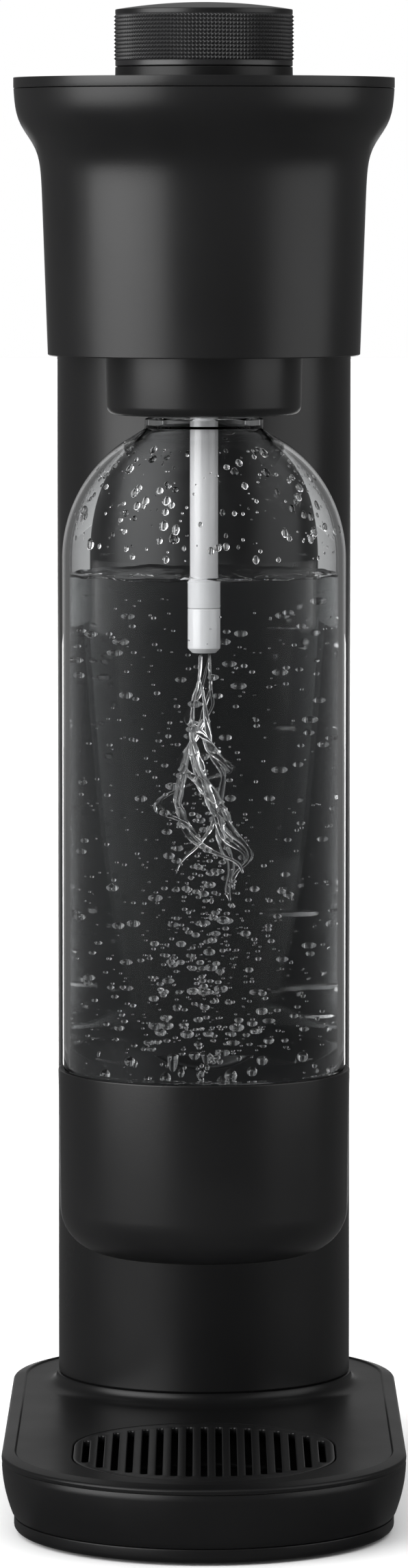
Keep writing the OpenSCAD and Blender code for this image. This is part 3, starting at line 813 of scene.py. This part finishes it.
def scatter(name, blobs):
    """One mesh of many closed blobs, each (centre, half-size along three axes, frame, detail)."""
    balls = {detail: ball(detail) for detail in {blob[3] for blob in blobs}}
    verts, faces = [], []
    for centre, size, axes, detail in blobs:
        shape, triangles = balls[detail]
        first = len(verts)
        for point in shape:
            verts.append(centre + axes[0] * (point.x * size[0]) + axes[1] * (point.y * size[1])
                         + axes[2] * (point.z * size[2]))
        faces += [[first + i for i in face] for face in triangles]
    mesh = bpy.data.meshes.new(name)
    mesh.from_pydata(verts, [], faces)
    for face in mesh.polygons:
        face.use_smooth = True
    return put(name, mesh)


def make_bubbles():
    """Gas bubbles: flat ones anywhere in the water, and a cloud that widens below the nozzle."""
    dice = random.Random(11)
    upright = (Vector((1, 0, 0)), Vector((0, 1, 0)), Vector((0, 0, 1)))
    inner = BOTTLE_R - BOTTLE_WALL
    blobs, taken = [], []
    wall_gap, surface_gap, tip_gap, tip_reach = 1.0 * MM, 1.6 * MM, 1.2 * MM, 3 * MM
    lowest = BOTTLE_LOW + 14 * MM
    apart = 1.05                    # least distance of two bubbles, over the sum of their radii
    bottom_mm, height_mm = 134, 130  # where bubbles may be anywhere
    cloud_top_mm, cloud_mm = 226, 94
    cloud_near_mm, cloud_wider_mm, cloud_flat = 4, 13, 0.68

    def place(x, y, z, r, flat, detail):
        spot = Vector((x, y - END_Y, z))
        reach = math.hypot(x, y)
        if reach + r > inner - wall_gap or z + r > WATER_Z - surface_gap or z - r < lowest:
            return
        if reach < TIP_R + r + tip_gap and z > TIP_LOW - tip_reach:
            return
        if any((spot - other).length < (r + r2) * apart for other, r2 in taken):
            return
        taken.append((spot, r))
        blobs.append((spot, (r, r, r * flat), upright, detail))

    def anywhere(count, r_low, r_high, flat, detail, z_power):
        for _ in range(count):
            a, reach = dice.random() * math.tau, inner * math.sqrt(dice.random()) * 0.98
            z = (bottom_mm + height_mm * dice.random() ** z_power) * MM
            place(reach * math.cos(a), reach * math.sin(a), z, dice.uniform(r_low, r_high) * MM, flat, detail)

    def cloud(count, sizes, detail):
        for _ in range(count):
            depth = dice.random() ** 0.6
            a, width_mm = dice.random() * math.tau, cloud_near_mm + cloud_wider_mm * depth
            reach = abs(dice.gauss(0, 1)) * width_mm * MM
            r = dice.choice(sizes) * dice.uniform(0.8, 1.2) * MM
            z = (cloud_top_mm - cloud_mm * depth) * MM
            place(reach * math.cos(a), reach * math.sin(a), z, r, cloud_flat, detail)

    anywhere(84, 1.25, 1.9, 0.56, 3, 1.0)
    cloud(130, (0.95, 1.2, 1.5), 3)
    anywhere(130, 0.5, 0.9, 0.7, 2, 1.05)
    cloud(520, (0.3, 0.4, 0.55, 0.75), 2)
    anywhere(260, 0.2, 0.4, 0.85, 2, 1.1)
    return scatter("gas_bubbles", blobs)


def make_drops():
    """Drops inside the bottle's shoulder, above the water."""
    dice = random.Random(5)
    inner = BOTTLE_R - BOTTLE_WALL
    count, lowest, highest = 300, 2, 56  # the last two are angles up the shoulder
    sizes = (0.2, 0.25, 0.3, 0.4, 0.55, 0.8, 1.05)
    sunk, flat = 0.12 * MM, 0.7
    blobs = []
    for _ in range(count):
        a = dice.random() * math.tau
        up = math.radians(dice.uniform(lowest, highest))
        r = dice.choice(sizes) * dice.uniform(0.8, 1.25) * MM
        out = Vector((math.cos(a) * math.cos(up), math.sin(a) * math.cos(up), math.sin(up)))
        side = Vector((-math.sin(a), math.cos(a), 0))
        rise = out.cross(side)
        spot = Vector((0, -END_Y, SHOULDER_Z)) + out * (inner - sunk)
        long = dice.uniform(1.0, 1.5)
        blobs.append((spot, (r * flat, r, r * long), (out, side, rise), 3 if r > 0.5 * MM else 2))
    return scatter("drops_in_shoulder", blobs)


def make_plume():
    """Twisted strands of gas that widen as they sink from the nozzle."""
    dice = random.Random(23)
    bm = bmesh.new()
    strands, steps, sides = 6, 72, 7
    start_reach, start_gap = 1.2 * MM, 0.9 * MM
    for number in range(strands):
        start, turns = dice.random() * math.tau, dice.uniform(0.7, 1.9)
        spread_out, length = dice.uniform(4, 11) * MM, dice.uniform(48, 78) * MM
        thick = dice.uniform(0.38, 0.85) * MM
        shift = dice.random() * 50
        rows = []
        for k in range(steps + 1):
            t = k / steps
            place = Vector((t * 4 + shift, number, 0))
            a = start + turns * math.tau * t + 1.2 * noise.noise(place)
            reach = (start_reach + spread_out * t ** 1.2) * (1 + 0.45 * noise.noise(place * 1.7))
            centre = Vector((reach * math.cos(a), -END_Y + reach * math.sin(a),
                             TIP_LOW - start_gap - length * t + 1.5 * MM * noise.noise(place * 2.1)))
            r = thick * (0.22 + 0.78 * math.sin(math.pi * t ** 1.6))
            r *= 1 + 0.55 * noise.noise(place * 4.5)
            rows.append([bm.verts.new(centre + Vector((r * 1.9 * math.cos(b), r * math.sin(b) * 0.9,
                                                       r * 0.9 * math.sin(b + 0.8))))
                         for b in (math.tau * i / sides for i in range(sides))])
        strand(bm, rows)
    return finish_mesh(bm, "gas_plume", 80)


# ---------------------------------------------------------------- stage
def make_stage():
    """A large pale floor, with the light that keeps it pale."""
    floor_size = 26
    bpy.ops.mesh.primitive_plane_add(size=floor_size, location=(0, 0, 0))
    floor = bpy.context.object
    floor.name = "floor"
    material, _, shader = new_material("pale_floor")
    shader.inputs["Base Color"].default_value = (0.9, 0.9, 0.9, 1)
    shader.inputs["Roughness"].default_value = 0.6
    shader.inputs["Specular IOR Level"].default_value = 0.1
    floor.data.materials.append(material)
    fill_light(floor)


def fill_light(floor):
    """An even, very soft light from above that only the floor takes, so that it stays pale all round."""
    lamp = bpy.data.lights.new("floor_fill", "SUN")
    lamp.energy = 2.6
    lamp.angle = math.radians(100)
    thing = put("floor_fill", lamp)
    thing.location = (0, 0, 3)
    group = bpy.data.collections.new("floor_only")
    group.objects.link(floor)
    thing.light_linking.receiver_collection = group


def softbox(name, position, target, width, height, radiance, spread_degrees):
    """A rectangular studio light of a given radiance, facing its target. The camera doesn't see it."""
    lamp = bpy.data.lights.new(name, "AREA")
    lamp.shape = "RECTANGLE"
    lamp.size = width
    lamp.size_y = height
    lamp.spread = math.radians(spread_degrees)
    lamp.energy = radiance * math.pi * width * height
    thing = put(name, lamp)
    thing.location = position
    thing.rotation_euler = (Vector(target) - Vector(position)).to_track_quat("-Z", "Y").to_euler()
    thing.visible_camera = False
    return thing


def keep_off(lamps, things):
    """Light linking: clear walls mirror none of these lamps, and let their light straight through."""
    group = bpy.data.collections.new("kept_off")
    for thing in things:
        group.objects.link(thing)
    for link in group.collection_objects:
        link.light_linking.link_state = "EXCLUDE"
    for lamp in lamps:
        lamp.light_linking.receiver_collection = group
        lamp.light_linking.blocker_collection = group


def flag(name, corners, glow, mirrored=True, through=False):
    """A studio card of even glow. It is hidden from the camera, gives no light and no shadow, and
    shows only in mirror reflections (mirrored) and behind clear pieces (through)."""
    material, _, shader = new_material(name)
    shader.inputs["Base Color"].default_value = (0, 0, 0, 1)
    shader.inputs["Specular IOR Level"].default_value = 0
    shader.inputs["Emission Color"].default_value = (1, 1, 1, 1)
    shader.inputs["Emission Strength"].default_value = glow
    mesh = bpy.data.meshes.new(name)
    mesh.from_pydata(corners, [], [tuple(range(len(corners)))])
    mesh.materials.append(material)
    card = put(name, mesh)
    card.visible_camera = card.visible_diffuse = card.visible_shadow = False
    card.visible_glossy, card.visible_transmission = mirrored, through


def make_flags():
    """Cards that keep the edges of the black and the clear pieces dark against the white stage."""
    # The cards on the floor lie at heights of their own, so that no two share a plane.
    for side, word in ((-1, "left"), (1, "right")):
        near, far = (side * 1.9, 0.35), (side * 0.75, 2.4)
        flag("flag_" + word, [(*near, 0.002), (*far, 0.002), (*far, 1.3), (*near, 1.3)], 0.12, True, True)
        outline = [(0, -0.9), (4, -0.9), (4, 2.6), (0.75, 2.6), (0, 0.08)]
        flag("floor_flag_" + word, [(side * x, y, 0.0004) for x, y in outline], 0.11, True, True)
    flag("flag_front", [(-3, -0.08, 0.0006), (3, -0.08, 0.0006), (3, -6, 0.0006), (-3, -6, 0.0006)], 0.05)
    flag("flag_rear", [(-2, 3, 0.05), (2, 3, 0.05), (2, 3, 1.6), (-2, 3, 1.6)], 0.28)
    flag("floor_flag_rear", [(-0.08, 0.14, 0.0002), (0.08, 0.14, 0.0002), (3.9, 12.9, 0.0002),
                             (-3.9, 12.9, 0.0002)], 0.42, False, True)


def make_light():
    """Softboxes above, left and right, and a bank for the floor behind. Returns the three boxes."""
    middle = (0, 0, 0.3)
    make_flags()
    boxes = [softbox("top_box", (0, -1.3, 1.9), middle, 1.4, 0.7, 0.5, 120),
             softbox("left_box", (-1.41, -0.95, 0.85), middle, 2.2, 1.9, 2.0, 110),
             softbox("right_box", (1.6, -0.5, 0.85), middle, 1.8, 1.9, 0.6, 110)]
    softbox("floor_bank", (0, 7.15, 1.3), (0, 7.15, 0), 14, 13.4, 1.05, 70)
    make_world()
    bpy.context.scene.view_settings.view_transform = "Standard"
    return boxes


def make_world():
    """A world that is white to the camera and dim to everything else, less dim towards the rear."""
    front_glow, rear_glow, camera_glow = 0.1, 0.5, 1.0
    world = bpy.data.worlds.new("studio")
    world.use_nodes = True
    bpy.context.scene.world = world
    tree = world.node_tree
    background = tree.nodes["Background"]
    background.inputs["Color"].default_value = (1, 1, 1, 1)
    place = node(tree, "ShaderNodeTexCoord")
    split = node(tree, "ShaderNodeSeparateXYZ")
    ramp = node(tree, "ShaderNodeMapRange")
    ramp.interpolation_type = "SMOOTHSTEP"
    ramp.inputs["From Min"].default_value = 0.6
    ramp.inputs["From Max"].default_value = 0.95
    ramp.inputs["To Min"].default_value = front_glow
    ramp.inputs["To Max"].default_value = rear_glow
    tree.links.new(place.outputs["Generated"], split.inputs["Vector"])
    tree.links.new(split.outputs["Y"], ramp.inputs["Value"])
    seen = node(tree, "ShaderNodeLightPath")
    mix = node(tree, "ShaderNodeMix")
    mix.inputs["B"].default_value = camera_glow
    tree.links.new(seen.outputs["Is Camera Ray"], mix.inputs["Factor"])
    tree.links.new(ramp.outputs["Result"], mix.inputs["A"])
    tree.links.new(mix.outputs["Result"], background.inputs["Strength"])


def make_camera():
    """The photograph's view: far off, a little above the middle, looking slightly down."""
    focal, long_side, sensor = 10300, 2288, 36  # the first two only count as a ratio
    distance, height, pitch = 1.976, 0.3816, 4.9
    data = bpy.data.cameras.new("camera")
    data.sensor_width = sensor
    data.lens = focal / long_side * sensor
    data.clip_end = 50
    thing = put("camera", data)
    thing.location = (0, -END_Y - distance, height)
    thing.rotation_euler = (math.radians(90 - pitch), 0, 0)
    bpy.context.scene.camera = thing


# ---------------------------------------------------------------- assembly
make_camera()
make_stage()
boxes = make_light()

# The base pieces take the darker copy of the black moulding as painted shade.
dress(make_base_body(), BLACK_SHADED, "root", "black_plastic", "base_body")
dress(make_base_plate(), BLACK_SHADED, "root", "black_plastic", "base_plate")
dress(make_deck(), BLACK_SHADED, "root", "black_plastic", "base_deck")
dress(make_well(), BLACK_DEEP, "root", "black_plastic", "drip_well")
dress(make_tray(), BLACK_DEEP, "tray", "black_plastic", "drip_tray")
dress(make_grille(), BLACK, "grille", "black_plastic", "drip_grille")
dress(make_column_front(), BLACK, "root", "black_plastic", "column_front")
dress(make_rear_cover(), BLACK, "rear_cover", "black_plastic", "rear_cover")
dress(make_head_shell(), BLACK, "root", "black_plastic", "head_shell")
dress(make_head_floor(), BLACK, "root", "black_plastic")
dress(make_top_plate(), BLACK, "root", "black_plastic", "head_plate")
dress(make_plate_rib(), BLACK_DEEP, "root", "black_plastic")
dress(make_button_cap(), BLACK, "button", "black_plastic", "button_cap")
dress(make_grip(), KNURL, "button", "black_metal", "button_grip")
# The skirt takes the darker copy of the black moulding as painted shade under the grip.
dress(make_button_skirt(), BLACK_SHADED, "button", "black_plastic", "button_skirt")
spring = make_spring()
spring.data.materials.append(BRIGHT)
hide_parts("button_spring")
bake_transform(spring)
dress(make_nozzle_skirt(), BLACK, "root", "black_plastic", "nozzle_skirt")
dress(make_tube(), TUBE, "root", "pale_tube", "carbonation_tube")
dress(make_tip(), TUBE, "root", "pale_tube", "nozzle_tip")
bottle = dress(make_bottle(), CLEAR, "bottle", "clear_plastic", "bottle_body")
dress(make_cup(), BLACK, "bottle", "black_plastic", "bottle_base_cup")
water = dress(make_water(), WATER, "bottle", "clear_plastic")
water.data.materials.append(SURFACE)
for face in water.data.polygons:
    face.material_index = 1 if face.center.z > WATER_Z - 2.5 * MM else 0
keep_off(boxes, [bottle, water])
dress(make_bubbles(), BUBBLE, "bottle", "clear_plastic")
dress(make_drops(), DROP, "bottle", "clear_plastic")
dress(make_plume(), BUBBLE, "bottle", "clear_plastic")

# CAD nodes that are shown as they are, each with its material.
CARRIED_OVER = {
    "rubber_feet": RUBBER, "base_screws": BRIGHT, "base_posts": BRIGHT, "spine": STEEL,
    "cylinder_seat": RUBBER, "co2_cylinder": ALUMINIUM, "cylinder_valve": BRASS,
    "cylinder_gasket": RUBBER, "valve_body": BRASS, "valve_pin": BRIGHT, "head_frame": STEEL,
    "frame_screws": BRIGHT, "lever": STEEL, "lever_bracket": STEEL, "lever_pin": BRIGHT,
    "button_stem": BRIGHT, "button_guide": GREY, "bottle_socket": GREY, "bottle_seal": RUBBER,
    "tube_holder": GREY, "relief_valve": BRASS, "gas_hose": HOSE,
}
for name, material in CARRIED_OVER.items():
    mesh = nodes[name].data
    mesh.materials.clear()
    mesh.materials.append(material)
